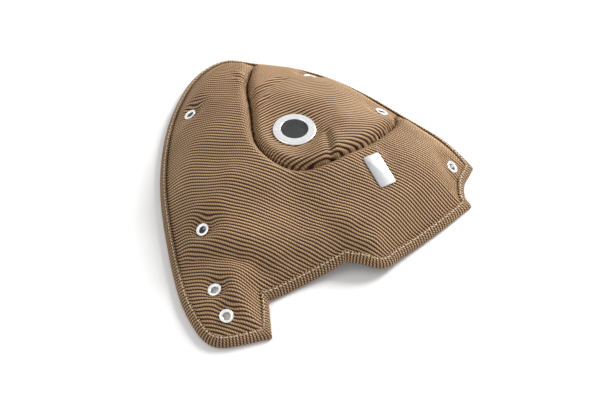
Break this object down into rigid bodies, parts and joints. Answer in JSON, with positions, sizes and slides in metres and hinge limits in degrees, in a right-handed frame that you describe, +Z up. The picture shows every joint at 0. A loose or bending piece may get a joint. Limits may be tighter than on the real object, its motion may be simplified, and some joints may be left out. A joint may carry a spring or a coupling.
{
  "type": "turbo heat blanket",
  "caption": "Quilted heat blanket for a turbine housing, lying face up: domed ribbed cloth panels with bound edges, lacing eyelets, a port ring and a bare badge plate.",
  "frame": {"origin": "under the middle of the blanket's outline, on the surface that it lies on", "axes": "+Z up through the crown; -Y towards the tab and the mouth; +X towards the notched side"},
  "size_m": [0.2488, 0.2898, 0.0531],
  "materials": {
    "ribbed_cloth": "ribbed basalt-type woven cloth, tan brown, slight sheen",
    "binding_cloth": "folded strip of the same ribbed cloth, cream stitching",
    "needled_mat": "needled white glass mat, matt",
    "lining_cloth": "plain grey silica lining cloth, matt",
    "plated_metal": "bright plated steel",
    "satin_plate": "satin steel plate, bare"
  },
  "bodies": {
    "root": {"main_skin": "ribbed_cloth", "main_mat": "needled_mat", "main_lining": "lining_cloth", "cap_skin": "ribbed_cloth", "cap_mat": "needled_mat", "cap_lining": "lining_cloth", "long_edge_binding": "binding_cloth", "tab_side_binding": "binding_cloth", "mouth_left_binding": "binding_cloth", "front_edge_binding": "binding_cloth", "notch_binding": "binding_cloth", "right_edge_binding": "binding_cloth", "cap_rear_binding": "binding_cloth", "eyelet_1": "plated_metal", "eyelet_1_washer": "plated_metal", "eyelet_2": "plated_metal", "eyelet_2_washer": "plated_metal", "eyelet_3": "plated_metal", "eyelet_3_washer": "plated_metal", "eyelet_4": "plated_metal", "eyelet_4_washer": "plated_metal", "eyelet_5": "plated_metal", "eyelet_5_washer": "plated_metal", "eyelet_6": "plated_metal", "eyelet_6_washer": "plated_metal", "eyelet_7": "plated_metal", "eyelet_7_washer": "plated_metal", "port_ring": "plated_metal", "port_ring_washer": "plated_metal", "badge_plate": "satin_plate"}
  },
  "joints": []
}
